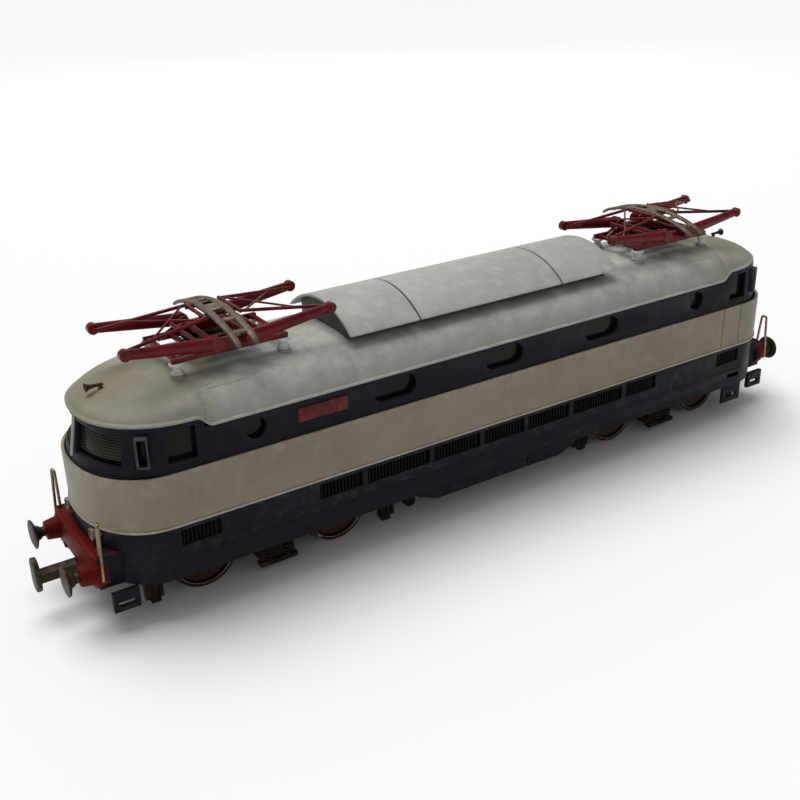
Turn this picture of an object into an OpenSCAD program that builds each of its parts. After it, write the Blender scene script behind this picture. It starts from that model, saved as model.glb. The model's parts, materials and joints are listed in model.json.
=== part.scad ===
// Two-tone electric locomotive for a 16.5 mm gauge model railway, in millimetres.
// +X runs along the body, +Z is up, and the origin lies under the middle of the body,
// level with the bottom of the wheel flanges.

/* [Body] */
// Length over the buffer heads
over_buffers = 193.6; // [192:0.2:196]
// Half width of the waist band
half_w = 16.9; // [16.8:0.1:17]
// Tip of the nose at the waist band, from the middle of the body
nose_tip = 90; // [89.8:0.1:90.2]
// Length of the rounded part of each nose
nose_len = 13.5; // [13:0.1:14]
// Squareness of the nose outline, where 2 is an ellipse
nose_power = 2.2; // [2:0.1:2.6]
// Where each cab begins
cab_x = 69; // [68:0.5:70]

/* [Levels] */
// Bottom edge of the skirt
skirt_z = 8.8; // [8.6:0.1:9]
// Bottom edge of the waist band
band_z0 = 19.8; // [19.6:0.1:20]
// Top edge of the waist band
band_z1 = 30.8; // [30.6:0.1:31]
// Gutter where the roof meets the side
gutter_z = 38; // [37.8:0.1:38.2]
// Brow of the roof over the cab windows
brow_z = 40; // [39.8:0.1:40.2]
// Crown of the roof
crown_z = 45.2; // [45:0.1:45.4]
// Crown of the raised roof fairing
fairing_z = 51.2; // [51:0.1:51.4]

/* [Running gear] */
// Distance of each bogie pivot from the middle of the body
pivot_x = 54.5; // [54:0.5:55]
// Half of the bogie wheelbase
half_base = 15; // [15]
// Radius of the wheel flange
flange_r = 7.7; // [7.6:0.1:7.8]
// Radius of the wheel tread
tread_r = 6.9; // [6.8:0.1:7]
// Half of the distance between the wheel backs
back_y = 7.1; // [7:0.1:7.2]
// Radius of the wheel axles
axle_r = 1; // [0.9:0.05:1.05]
// Radial clearance of a running fit
fit = 0.05; // [0.03:0.01:0.08]

/* [Pantographs] */
// Distance of each pantograph's middle from the middle of the body
panto_x = 58.5; // [58:0.5:59]
// Distance of the arm pivots from the pantograph's middle
arm_pivot = 3.5; // [3.5]
// Height of the lower arm pivots
arm_z = 49.8; // [49.6:0.1:50]
// Reach of an arm along the body when the pantograph is folded
arm_reach = 17.4; // [17:0.1:17.6]
// Rise of an arm when the pantograph is folded
arm_rise = 2; // [1.8:0.1:2.2]

/* [Hidden] */
$fn = 48;

navy = "#1f2630";
cream = "#9c947f";
roof_grey = "#a5a59c";
signal_red = "#8f1d20";
bronze = "#5b4632";

side_in = 15.6;            // inner half width of the skirt
shell_in = 15;             // inner half width above the ledge
window_w = 16.1;           // half width of the window band
window_tip = 87.4;         // nose tip of the window band
ledge_z = 19;              // where the chassis meets the shell
glass_t = 0.8;
pane_z0 = 32.6;
pane_z1 = 38.8;
port_z = 34.9;
port_r = 2.2;
slot_half = 2.9;           // half distance between the end centres of a side window
corner_pane = [80.6, 14.9];    // middle of a narrow corner window
corner_turn = 59;              // direction that window faces, from +X towards +Y
roof_w = 16.4;
roof_tip = 87.8;
roof_len = 17;
roof_R = 60;               // crown radius of the roof section
roof_r = 6.5;              // shoulder radius of the roof section
brow_R = 51;               // radius of the roof's fall towards each nose
fairing_R = 19.1;
fairing_w = 12.5;
fairing_x = 35.6;
seam_x = 19;
seam_w = 0.45;
grille_z0 = 15.6;
grille_z1 = 18.9;
grilles = [[-46.6, -36.7], [-35.4, -20.1], [-18.9, -6.7], [-5.7, 5.7], [6.7, 18.9],
           [20.1, 35.4], [36.7, 46.6], [-76, -68], [68, 76]];
slat_pitch = 0.8;
pad_z = 45.3;              // top of the pads under the insulators
beam_tip = 91.9;
lamp_at = [7, 18.2];        // Y and Z of a headlamp
beam_w = 11.9;
beam_hw = 28;              // half width of the flatter curve of a beam's face
beam_z1 = 15.8;
wire_r = 0.3;              // handrail wire
rail_route = [              // corners of a handrail
    [90.1, 11.25, 14.8], [89.9, 12.2, 23.2], [90.1, 13.4, 23.2], [90.6, 13.8, 11.8], [90.2, 12.3, 11.8]];
buffer_y = 10.06;
buffer_z = 12.1;
deck_z0 = 17.2;            // underside of the chassis plate
coupler_x = 84;
coupler_z = 8.6;
table_r = 13.5;            // turntable of the motor bogie
gear_y0 = 3.9;             // plane of the idler and axle gears
gear_y1 = 5.3;
drive_y0 = 6;              // plane of the motor pinion
drive_y1 = 7.4;
gear_m = 0.5;              // gear module
axle_teeth = 20;
idler_teeth = 48;
pinion_teeth = 10;
wheel_teeth = 30;
idler_z = flange_r + 8;
reduction_at = [8.7, idler_z + 11.6];
motor_at = reduction_at + [-8, 6];
elbow = [arm_pivot + arm_reach, arm_z + arm_rise];
bow_z = arm_z + 2 * arm_rise;
arm_y = 8.4;               // plane of the lower arms

// ---------- shared shapes ----------

function signed_pow(v, p) = sign(v) * pow(abs(v), p);

// Plan outline with two rounded noses
function outline(tip, hw, len) = let (p = 2 / nose_power) [
    for (end = [1, -1])
        for (a = [-90 : 5 : 90])
            end * [tip - len + len * pow(cos(a), p), hw * signed_pow(sin(a), p)]
];

module slab(tip, hw, len, z0, z1)
    translate([0, 0, z0]) linear_extrude(z1 - z0) polygon(outline(tip, hw, len));

module block(x, y, z)
    translate([x[0], y[0], z[0]]) cube([x[1] - x[0], y[1] - y[0], z[1] - z[0]]);

// Cylinder along Y or X between two coordinates
module rod_y(x, y, z, r)
    translate([x, y[0], z]) rotate([-90, 0, 0]) cylinder(h = y[1] - y[0], r = r);

module rod_x(x, y, z, r)
    translate([x[0], y, z]) rotate([0, 90, 0]) cylinder(h = x[1] - x[0], r = r);

module both_sides() {
    children();
    mirror([0, 1, 0]) children();
}

module both_ends() {
    children();
    mirror([1, 0, 0]) children();
}

module four_corners() both_ends() both_sides() children();

// The two opposite corners that have a cab door
module door_corners() {
    mirror([0, 1, 0]) children();
    mirror([1, 0, 0]) children();
}

// Straight round bar between two points, tapered where the second radius differs
module bar(a, b, r0, r1) {
    d = b - a;
    translate(a)
        rotate([0, acos(d[2] / norm(d)), atan2(d[1], d[0])])
            cylinder(h = norm(d), r1 = r0, r2 = is_undef(r1) ? r0 : r1);
}

// ---------- body ----------

module obround(x, z, half, r, y0, y1) {
    rod_y(x - half, [y0, y1], z, r);
    rod_y(x + half, [y0, y1], z, r);
    block([x - half, x + half], [y0, y1], [z - r, z + r]);
}

module corner_cut(w, z0, z1, depth)
    translate([corner_pane[0], corner_pane[1], z0])
        rotate([0, 0, corner_turn])
            translate([-depth / 2, -w / 2, 0]) cube([depth, w, z1 - z0]);

module window_openings() {
    both_sides() {
        for (x = [-28, 0, 28]) obround(x, port_z, slot_half, port_r, shell_in - 1, half_w);
        for (x = [-59, 59]) rod_y(x, [shell_in - 1, half_w], port_z, port_r);
    }
    four_corners() {
        block([70.9, 76.3], [shell_in - 2, half_w], [pane_z0, pane_z1]);
        block([nose_tip - nose_len - 2, nose_tip], [0.9, 12.4], [pane_z0, pane_z1]);
        corner_cut(2.4, pane_z0, pane_z1, 3.4);
    }
}

module body_shell() color(navy) difference() {
    union() {
        slab(nose_tip - 0.4, half_w - 0.2, nose_len, skirt_z, band_z0);
        slab(nose_tip - 0.6, half_w - 0.5, nose_len, band_z0, band_z1);
        slab(window_tip, window_w, nose_len, band_z1, gutter_z);
        difference() {
            slab(window_tip, window_w, nose_len, gutter_z, brow_z);
            block([-cab_x, cab_x], [-half_w, half_w], [gutter_z, brow_z + 1]);
        }
        both_sides() block([-78, 78], [16.6, 16.85], [12.9, 13.2]);
    }
    slab(nose_tip - 1.5, side_in, nose_len, skirt_z - 1, ledge_z);
    slab(window_tip - 1.1, shell_in, nose_len - 0.5, ledge_z - 1, brow_z + 1);
    for (g = grilles) both_sides() block(g, [side_in - 1, half_w], [grille_z0, grille_z1]);
    both_ends() block([80, nose_tip + 2], [-6.5, 6.5], [skirt_z - 1, 10.8]);
    four_corners() {
        block([85, 88.6], [13.2, half_w], [10.4, 11.4]);
        rod_x([84, 93], buffer_y, buffer_z, 1 + fit);
        rod_x([84, 93], lamp_at[0], lamp_at[1], 1.3);
    }
    door_corners() block([72.8, 77], [14.5, half_w], [11.2, 12.2]);
    window_openings();
}

module waist_band() color(cream) difference() {
    union() {
        slab(nose_tip, half_w, nose_len, band_z0, band_z1);
        slab(nose_tip + 0.2, half_w + 0.15, nose_len, band_z0, band_z0 + 0.6);
    }
    slab(nose_tip - 0.6, half_w - 0.5, nose_len, band_z0 - 1, band_z1 + 1);
}

// ---------- roof ----------

function arc(c, r, a0, a1, n) =
    [for (i = [0 : n]) let (a = a0 + (a1 - a0) * i / n) c + r * [cos(a), sin(a)]];

// Cross section of the roof, thinner by t all round
function roof_section(t) =
    let (cz = crown_z - roof_R,
         sy = roof_w - roof_r,
         sz = sqrt(pow(roof_R - roof_r, 2) - sy * sy),
         a = atan2(sz, sy))
    concat([[roof_w - t, gutter_z - 3]],
           arc([sy, cz + sz], roof_r - t, 0, a, 8),
           arc([0, cz], roof_R - t, a, 180 - a, 16),
           arc([-sy, cz + sz], roof_r - t, 180 - a, 180, 8),
           [[t - roof_w, gutter_z - 3]]);

// Side profile of the roof with its fall to both noses
function roof_profile(t) =
    let (x0 = cab_x - 1, a = asin((roof_tip + 1 - x0) / brow_R))
    concat([[-roof_tip - 1, gutter_z - 1], [roof_tip + 1, gutter_z - 1]],
           arc([x0, crown_z - brow_R], brow_R - t, 90 - a, 90, 8),
           arc([-x0, crown_z - brow_R], brow_R - t, 90, 90 + a, 8));

module roof_solid(t) intersection() {
    translate([-100, 0, 0]) rotate([90, 0, 90]) linear_extrude(200) polygon(roof_section(t));
    slab(roof_tip - t, roof_w - t, roof_len, gutter_z, crown_z + 1);
    translate([0, 20, 0]) rotate([90, 0, 0]) linear_extrude(40) polygon(roof_profile(t));
}

module roof_shell() color(roof_grey) difference() {
    union() {
        roof_solid(0);
        slab(roof_tip + 0.2, roof_w + 0.3, roof_len, gutter_z, gutter_z + 0.5);
        slab(roof_tip + 0.2, roof_w + 0.3, roof_len, brow_z, brow_z + 0.5);
        for (end = [-1, 1], x = [47.5, 69.5]) both_sides()
            translate([end * x, 6.8, 44]) cylinder(h = pad_z - 44, r = 1.6);
    }
    roof_solid(1.1);
    difference() {
        slab(roof_tip + 1, roof_w + 1, roof_len, gutter_z - 1, brow_z);
        block([-cab_x, cab_x], [-20, 20], [gutter_z - 2, brow_z + 1]);
    }
    block([-cab_x, cab_x], [-shell_in, shell_in], [gutter_z - 1, gutter_z + 1]);
    difference() {
        block([-cab_x, cab_x], [-20, 20], [brow_z, brow_z + 0.5]);
        roof_solid(0);
    }
}

module fairing_base() color("#6f726e") difference() {
    intersection() {
        rod_x([-34.4, 34.4], 0, fairing_z - fairing_R, fairing_R - 0.65);
        block([-fairing_x, fairing_x], [-9.6, 9.6], [crown_z - 4, fairing_z]);
    }
    rod_x([-fairing_x, fairing_x], 0, crown_z - roof_R, roof_R + 0.1);
}

module fairing_panels() color(roof_grey) difference() {
    intersection() {
        rod_x([-fairing_x, fairing_x], 0, fairing_z - fairing_R, fairing_R);
        block([-fairing_x, fairing_x], [-fairing_w, fairing_w], [crown_z + 1, fairing_z]);
    }
    rod_x([-fairing_x - 1, fairing_x + 1], 0, fairing_z - fairing_R, fairing_R - 0.6);
    for (x = [-seam_x, seam_x])
        block([x - seam_w / 2, x + seam_w / 2], [-20, 20], [crown_z, fairing_z + 1]);
}

module roof_insulators() color("white") four_corners() for (x = [panto_x - 11, panto_x + 11])
    translate([x, 6.8, pad_z]) rotate_extrude() polygon([
        [0, 0], [1.3, 0], [1.3, 0.4], [0.95, 0.6], [0.9, 1.2], [1.5, 1.65], [1.5, 2.1], [0, 2.1]]);

module roof_horns() color(bronze) both_ends() {
    translate([82, 0, 42.1]) cylinder(h = 1.7, r = 0.5);
    rod_x([81.4, 84.6], 0, 44, 0.35);
    translate([84.4, 0, 44]) rotate([0, 90, 0]) cylinder(h = 1.2, r1 = 0.35, r2 = 0.9);
}

// ---------- side details ----------

// Plate with upright slats that fills one grille opening
module grille(g) {
    n = floor((g[1] - g[0] - 0.4) / slat_pitch);
    comb = concat(
        [[g[1] - 0.05, 15.65], [g[0] + 0.05, 15.65], [g[0] + 0.05, 15.95]],
        [for (i = [0 : n - 1])
            let (x = g[0] + 0.3 + i * slat_pitch)
            each [[x, 15.95], [x, 16.5], [x + 0.35, 16.5], [x + 0.35, 15.95]]],
        [[g[1] - 0.05, 15.95]]);
    translate([0, 0, grille_z0 + 0.05]) linear_extrude(grille_z1 - grille_z0 - 0.1) polygon(comb);
}

module side_grilles() color("#0d0f12") both_sides() for (g = grilles) grille(g);

module nameplates() color(signal_red) both_sides()
    block([-50.2, -39.2], [window_w, window_w + 0.35], [33.5, 36.4]);

module cab_glazing() color("#4a3d2a") both_ends() difference() {
    slab(window_tip - 1.15, shell_in - 0.05, nose_len - 0.5, pane_z0 - 0.8, pane_z1 + 0.8);
    slab(window_tip - 1.15 - glass_t, shell_in - 0.05 - glass_t, nose_len - 0.5, pane_z0 - 1, brow_z);
    block([-nose_tip, cab_x + 0.5], [-half_w, half_w], [pane_z0 - 2, brow_z + 1]);
}

module side_glazing() color("#4a3d2a") both_sides()
    block([-63, 63], [shell_in - 0.05 - glass_t, shell_in - 0.05], [port_z - 3, port_z + 2.9]);

module corner_window_frames() color("silver") four_corners() difference() {
    corner_cut(2.35, pane_z0 + 0.05, pane_z1 - 0.05, 1.5);
    corner_cut(1.55, pane_z0 + 0.5, pane_z1 - 0.5, 4);
    slab(window_tip - 1.1, shell_in, nose_len - 0.5, pane_z0 - 1, brow_z);
}

module headlamp_rims() color("silver") four_corners() translate([88.4, lamp_at[0], lamp_at[1]])
    rotate([0, 90, 0]) difference() {
        cylinder(h = 1.5, r = 1.28);
        translate([0, 0, -1]) cylinder(h = 4, r = 1);
    }

module headlamp_lenses() color("ivory") four_corners()
    rod_x([87.6, 89.6], lamp_at[0], lamp_at[1], 0.98);

module buffer_beams() color(signal_red) both_ends() difference() {
    union() {
        intersection() {
            slab(beam_tip, beam_hw, nose_len, skirt_z + 0.2, beam_z1);
            block([75, 95], [-beam_w, beam_w], [skirt_z, beam_z1]);
        }
        both_sides() {
            translate([89.5, buffer_y, buffer_z]) rotate([0, 90, 0]) cylinder(h = 4.5, r1 = 2.6, r2 = 1.9);
            rod_x([89, 91.4], buffer_y, buffer_z, 2.8);
        }
    }
    slab(nose_tip - 0.38, half_w - 0.18, nose_len, skirt_z - 1, beam_z1 + 1);
    block([80, 95], [-6.5, 6.5], [skirt_z - 1, 10.8]);
    both_sides() {
        rod_x([80, 96], buffer_y, buffer_z, 1 + fit);
        translate(rail_route[0] - [0, 0, 0.06]) cylinder(h = 2, r = wire_r + 0.12);
        bar(rail_route[4], rail_route[3], wire_r + fit);
    }
}

module corner_steps() color(navy) {
    four_corners() difference() {
        block([84.4, 89.6], [13.3, 14.3], [4.6, skirt_z]);
        block([85.4, 88.6], [13, 15], [5.6, 6.6]);
        slab(nose_tip - 1.5, side_in, nose_len, skirt_z - 0.5, skirt_z + 1);
    }
    door_corners() difference() {
        block([72.6, 79.4], [15.3, 15.9], [3.8, skirt_z]);
        block([74.2, 77.8], [15, 17], [5, 6.2]);
    }
}

// Bent wire that stands on the buffer beam and runs down its outer end
module end_handrails() color(bronze) four_corners() {
    for (i = [0 : len(rail_route) - 2]) bar(rail_route[i], rail_route[i + 1], wire_r);
    for (i = [1 : len(rail_route) - 2]) translate(rail_route[i]) sphere(r = wire_r * 1.3, $fn = 24);
}

// ---------- underframe and inside ----------

module chassis_frame() color("dimgray") difference() {
    union() {
        slab(nose_tip - 1.6, side_in - 0.1, nose_len, deck_z0, ledge_z);
        both_ends() block([81.5, 86.5], [-3.5, 3.5], [coupler_z + 1.2, deck_z0]);
        both_sides() block([-22, 22], [13.4, 14.6], [7.6, deck_z0]);
    }
    translate([-pivot_x, 0, deck_z0 - 1]) cylinder(h = 4, r = table_r + 0.08);
    translate([pivot_x, 0, deck_z0 - 1]) cylinder(h = 4, r = 1.5);
    for (x = [-30, 30]) translate([x, 0, deck_z0 - 1]) cylinder(h = 4, r = 1.1);
    both_ends() translate([coupler_x, 0, coupler_z]) cylinder(h = 6, r = 0.9);
}

module centre_skirts() color(navy) both_sides()
    translate([0, 15.55, 0]) rotate([90, 0, 0]) difference() {
        linear_extrude(0.9) polygon([
            [-22.3, 8.75], [-22.3, 7.4], [-17.4, 5.6], [17.4, 5.6], [22.3, 7.4], [22.3, 8.75]]);
        for (x = [-7.7, 7.7]) translate([x, 5, -1]) cube([0.3, 6, 1.3]);
    }

module air_reservoirs() color("#15161a") four_corners() rod_y(23.6, [10.5, 14.4], 6.4, 1.3);

module ballast_weights() color("gray") {
    difference() {
        block([-33, 33], [-12, 12], [ledge_z, 25]);
        for (x = [-30, 30]) translate([x, 0, ledge_z - 1]) cylinder(h = 8, r = 2.6);
    }
    block([38, 74], [-12, 12], [ledge_z + 0.02, 34]);
}

module circuit_board() color("darkgreen") {
    block([-26, 26], [-10, 10], [27, 28.2]);
    for (x = [-24, 24], y = [-8, 8]) translate([x, y, 25]) cylinder(h = 2, r = 1);
    for (x = [-15, -7, 9]) translate([x, -4, 28.2]) cylinder(h = 5, r = 2);
    block([-4, 4], [2, 7], [28.2, 30]);
}

module cab_bulbs() color("khaki") both_ends() {
    translate([78, 0, ledge_z]) cylinder(h = 4, r = 2.4);
    translate([78, 0, ledge_z + 4]) cylinder(h = 4, r = 1.6);
    translate([78, 0, ledge_z + 8]) sphere(r = 1.6);
}

module body_screws() color("silver") for (x = [-30, 30]) {
    translate([x, 0, deck_z0 - 1.2]) cylinder(h = 1.2, r = 2);
    translate([x, 0, deck_z0]) cylinder(h = 8.5, r = 1.1);
}

module rear_kingpin() color("silver") translate([pivot_x, 0, 0]) {
    translate([0, 0, 9.4]) cylinder(h = 1.2, r = 2.6);
    translate([0, 0, 10.6]) cylinder(h = ledge_z - 10.6, r = 1.5);
}

module coupler_pins() color("silver") both_ends() translate([coupler_x, 0, 0]) {
    translate([0, 0, coupler_z - 1.7]) cylinder(h = 0.7, r = 1.8);
    translate([0, 0, coupler_z - 1]) cylinder(h = 6, r = 0.9);
}

// ---------- buffers and couplers ----------

// Sprung buffer with a thin round head, at the +X end on the +Y side
module buffer() color(bronze) {
    rod_x([83.5, 84.7], buffer_y, buffer_z, 1.4);
    rod_x([84.6, over_buffers / 2 - 0.9], buffer_y, buffer_z, 1);
    translate([over_buffers / 2 - 1, buffer_y, buffer_z]) rotate([0, 90, 0]) rotate_extrude()
        polygon([[0, 0], [1.6, 0], [2.9, 0.45], [3, 0.7], [2.8, 0.95], [2.2, 1], [0, 1]]);
}

module coupler() color(bronze) {
    z = coupler_z;
    difference() {
        union() {
            translate([coupler_x, 0, z - 0.95]) cylinder(h = 2, r = 2.2);
            block([coupler_x, 99], [-1.3, 1.3], [z - 0.95, z + 1.05]);
            block([88, 91], [-1.7, 1.7], [z - 0.95, z + 1.05]);
        }
        translate([coupler_x, 0, z - 3]) cylinder(h = 6, r = 0.9 + fit);
    }
    translate([98.8, 0, 0]) hull() {
        rod_x([0, 1], 0, 7.6, 1.9, $fn = 32);
        rod_x([0, 1], 0, 11, 1.9, $fn = 32);
    }
}

// ---------- running gear ----------

// Spur gear along +Z with straight-sided teeth, turned by phase
module gear(teeth, h, phase) {
    r = gear_m * teeth / 2;
    root = r - 1.2 * gear_m;
    tip = r + 0.85 * gear_m;
    step = 360 / teeth;
    linear_extrude(h) polygon([
        for (i = [0 : teeth - 1], k = [[root, -0.33], [r, -0.21], [tip, -0.1],
                                       [tip, 0.1], [r, 0.21], [root, 0.33]])
            let (a = phase + (i + k[1]) * step) k[0] * [cos(a), sin(a)]]);
}

// The same gear with its axis along Y; angles run from +X towards +Z
module gear_at(x, z, y0, y1, teeth, phase)
    translate([x, y1, z]) rotate([90, 0, 0]) gear(teeth, y1 - y0, phase);

module wheel_profile() rotate_extrude($fn = 64) polygon([
    [0, 0], [flange_r, 0], [flange_r, 0.4], [tread_r, 0.95], [tread_r, 2.9],
    [tread_r - 0.7, 2.9], [tread_r - 1.1, 2.1], [2.3, 1.7], [1.9, 2.9], [0, 2.9]]);

module wheelset(x, geared) color(bronze) {
    rod_y(x, [-back_y, back_y], flange_r, axle_r);
    both_sides() translate([x, back_y, flange_r]) rotate([-90, 0, 0]) wheel_profile();
    if (geared) gear_at(x, flange_r, gear_y0, gear_y1, axle_teeth, axle_phase(x + pivot_x));
}

// Phase that puts a tooth gap of the axle gear on the line to the idler
function axle_phase(dx) = let (a = atan2(8, -dx)) a + 180 / axle_teeth
    + idler_lead(a + 180) * idler_teeth / axle_teeth;

// Angle from an idler tooth to a direction
function idler_lead(a) = a - round(a / (360 / idler_teeth)) * (360 / idler_teeth);

module side_frame(y0) {
    block([-22, 22], [y0, y0 + 1.3], [9.3, 11.6]);
    four_frame_ends(y0);
    block([-3.8, 3.8], [y0, y0 + 1.3], [2.6, 9.4]);
    block([-4.2, 4.2], [y0, y0 + 2], [1.9, 2.9]);
    block([-4.2, 4.2], [y0, y0 + 2], [8, 9.4]);
    for (x = [-2.1, 2.1], i = [0 : 5])
        translate([x, y0 + 1, 2.8 + i * 0.9]) cylinder(h = 0.6, r = 1);
    for (x = [-2.1, 2.1]) translate([x, y0 + 1, 2.5]) cylinder(h = 5.9, r = 0.6);
}

module four_frame_ends(y0) both_ends() {
    block([20.5, 28.2], [y0, y0 + 1.3], [6.9, 8.6]);
    block([20.5, 22], [y0, y0 + 1.3], [6.9, 9.6]);
    block([24.6, 28.2], [y0, y0 + 1.3], [3.2, 8.6]);
    for (x = [24.9, 26.1, 27.3]) block([x, x + 0.6], [y0, y0 + 1.8], [3.6, 8.2]);
    block([25.2, 27.2], [y0, y0 + 1.3], [2.2, 3.4]);
}

module bogie_frame(x) color("#3a2c20") translate([x, 0, 0]) difference() {
    union() {
        both_sides() side_frame(10.5);
        both_ends() {
            block([23.3, 24.6], [-11.8, 11.8], [6.9, 8.6]);
            block([19.5, 24.6], [-4.6, 4.6], [3.1, 4.3]);
            block([23.3, 24.6], [-4.6, 4.6], [3.1, 8.6]);
            both_sides() block([23.2, 24.6], [8.2, 9.8], [4.6, 8.6]);
        }
        block([-20, 20], [-4.6, 3.2], [3.1, 4.3]);
        both_sides() block([-3.2, 3.2], [3, 11.8], [2, 4]);
    }
    rod_y(0, [3.3, 5.9], idler_z, gear_m * idler_teeth / 2 + 0.9);
    for (sx = [-10, 10]) translate([sx, 0, 0]) {
        cylinder(h = 10, r = 0.8);
        translate([0, 0, 2]) cylinder(h = 1.9, r = 1.5);
    }
}

module frame_screws(x) color("silver") for (sx = [-10, 10]) translate([x + sx, 0, 0]) {
    translate([0, 0, 3.2]) cylinder(h = 0.7, r = 1.4);
    translate([0, 0, 3.9]) cylinder(h = 3.6, r = 0.8);
}

module pickups(x) color("#b08d57") translate([x, 0, 0]) {
    both_sides() block([-20.4, 20.4], [6.3, 6.55], [11.6, 13]);
    both_ends() block([19.2, 20.4], [-6.3, 6.3], [11.6, 13]);
}

module axle_bores() for (dx = [-half_base, half_base])
    rod_y(dx, [-10, 10], flange_r, axle_r + fit);

module frame_screw_bores() for (sx = [-10, 10])
    translate([sx, 0, 3]) cylinder(h = 4.5, r = 0.8);

module motor_block() color("darkgray") translate([-pivot_x, 0, 0]) {
    difference() {
        union() {
            block([-19.2, 19.2], [-5, 3.4], [4.3, deck_z0 - 0.06]);
            intersection() {
                union() {
                    translate([0, 0, deck_z0 - 0.2]) cylinder(h = 2.2, r = table_r, $fn = 96);
                    translate([0, 0, ledge_z + 0.05]) cylinder(h = 0.9, r = table_r + 0.8, $fn = 96);
                }
                block([-20, 20], [-20, 3.4], [deck_z0 - 0.2, 20]);
            }
            block([-8, 11], [1.6, 3.4], [19, motor_at[1] + 4]);
        }
        axle_bores();
        frame_screw_bores();
        rod_y(motor_at[0], [0, 5], motor_at[1], 0.75 + fit);
    }
    rod_y(0, [3.4, 5.7], idler_z, 0.9);
    rod_y(reduction_at[0], [3.4, 7.8], reduction_at[1], 0.7);
}

module motor_can() color("silver") translate([-pivot_x + motor_at[0], 0, motor_at[1]])
    rotate([-90, 0, 0]) difference() {
        translate([0, 0, -11.6]) cylinder(h = 13.2, r = 7.2);
        translate([0, 0, -10.8]) cylinder(h = 11.6, r = 6.3);
        translate([0, 0, -13]) cylinder(h = 16, r = 0.75 + fit);
    }

module armature() color("chocolate") {
    x = -pivot_x + motor_at[0];
    z = motor_at[1];
    rod_y(x, [-12.6, 7.8], z, 0.75);
    rod_y(x, [-8, -0.6], z, 5.4);
    rod_y(x, [-10.4, -8], z, 2);
    gear_at(x, z, drive_y0, drive_y1, pinion_teeth, pinion_phase);
}

module reduction_gear() color("#c9b27c") {
    x = -pivot_x + reduction_at[0];
    z = reduction_at[1];
    difference() {
        union() {
            gear_at(x, z, drive_y0, drive_y1, wheel_teeth, wheel_phase);
            gear_at(x, z, gear_y0, gear_y1, pinion_teeth, small_phase);
            rod_y(x, [gear_y1 - 0.2, drive_y0 + 0.2], z, 1.8);
        }
        rod_y(x, [gear_y0 - 1, drive_y1 + 1], z, 0.7 + fit);
    }
}

module idler_gear() color("#c9b27c") difference() {
    gear_at(-pivot_x, idler_z, gear_y0, gear_y1, idler_teeth, 0);
    rod_y(-pivot_x, [gear_y0 - 1, gear_y1 + 1], idler_z, 0.9 + fit);
}

// Directions, in the X-Z plane, from one gear's middle to the next
to_reduction = atan2(reduction_at[1] - idler_z, reduction_at[0]);
to_motor = atan2(motor_at[1] - reduction_at[1], motor_at[0] - reduction_at[0]);
small_phase = to_reduction + 180 + 180 / pinion_teeth
    + idler_lead(to_reduction) * idler_teeth / pinion_teeth;
wheel_phase = to_motor;
pinion_phase = to_motor + 180 + 180 / pinion_teeth;

module rear_bogie_block() color("darkgray") translate([pivot_x, 0, 0]) difference() {
    union() {
        block([-19.2, 19.2], [-5, 5], [4.3, 15.6]);
        cylinder(h = deck_z0 - 0.06, r = 4);
    }
    translate([0, 0, -1]) cylinder(h = 11.7, r = 2.9);
    cylinder(h = 20, r = 1.5 + fit);
    axle_bores();
    frame_screw_bores();
    block([-5, 5], [-5, 5], [-1, 4.3]);
}

// ---------- pantographs ----------

module panto_frame(c) translate([c, 0, 0]) {
    both_sides() {
        block([-12, 12], [6.3, 7.3], [47.4, 48.4]);
        for (x = [-arm_pivot, arm_pivot]) difference() {
            union() {
                block([x - 1, x + 1], [6.3, 7.3], [48.3, arm_z]);
                rod_y(x, [6.3, 7.3], arm_z, 1.2);
            }
            rod_y(x, [6, 8], arm_z, 0.6 + fit);
        }
    }
    for (x = [-11.5, -7, 6, 10.5]) block([x, x + 1], [-7, 7], [47.5, 48.3]);
    block([-11, 11], [-0.6, 0.6], [47.5, 48.3]);
}

module panto_frames() color(signal_red) for (c = [-panto_x, panto_x]) panto_frame(c);

module panto_springs() color("#8c8f94") for (c = [-panto_x, panto_x]) translate([c, 0, 0])
    both_sides() {
        rod_x([-6, 6], 3, 47.9, 0.3);
        for (i = [0 : 9]) rod_x([-4.6 + i, -4.1 + i], 3, 47.9, 0.75);
    }

// Everything on one side of a pantograph; side is -1 towards -X
module panto_side(c, side)
    translate([c, 0, 0]) mirror([side < 0 ? 1 : 0, 0, 0]) children();

// Tapered lower arm pair with its pivot shaft
module lower_arm() color(signal_red) {
    p = [arm_pivot, 0, arm_z];
    e = [elbow[0], 0, elbow[1]];
    rod_y(p[0], [-9.2, 9.2], p[2], 0.6);
    both_sides() difference() {
        union() {
            translate([0, arm_y, 0]) bar(p, e, 1.15, 0.7);
            rod_y(p[0], [7.5, 9.3], p[2], 1.2);
            rod_y(e[0], [7.7, 9.1], e[2], 0.95);
        }
        rod_y(e[0], [5, 10], e[2], 0.4 + fit);
    }
}

// Thin upper arm frame between the elbows and the bow
module upper_arm() color(signal_red) {
    e = [elbow[0], 7, elbow[1]];
    t = [arm_pivot, 4.6, bow_z];
    rod_y(t[0], [-4.9, 4.9], t[2], 0.4);
    both_sides() {
        bar(e, t, 0.35);
        rod_y(e[0], [6.7, 9], e[2], 0.4);
        translate(e) sphere(r = 0.42, $fn = 24);
    }
    bar([e[0] * 0.72, -6.3, e[2] + 0.67], [t[0] + 1, 4.6, t[2] - 0.11], 0.22);
    bar([e[0] * 0.72, 6.3, e[2] + 0.67], [t[0] + 1, -4.6, t[2] - 0.11], 0.22);
}

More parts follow.
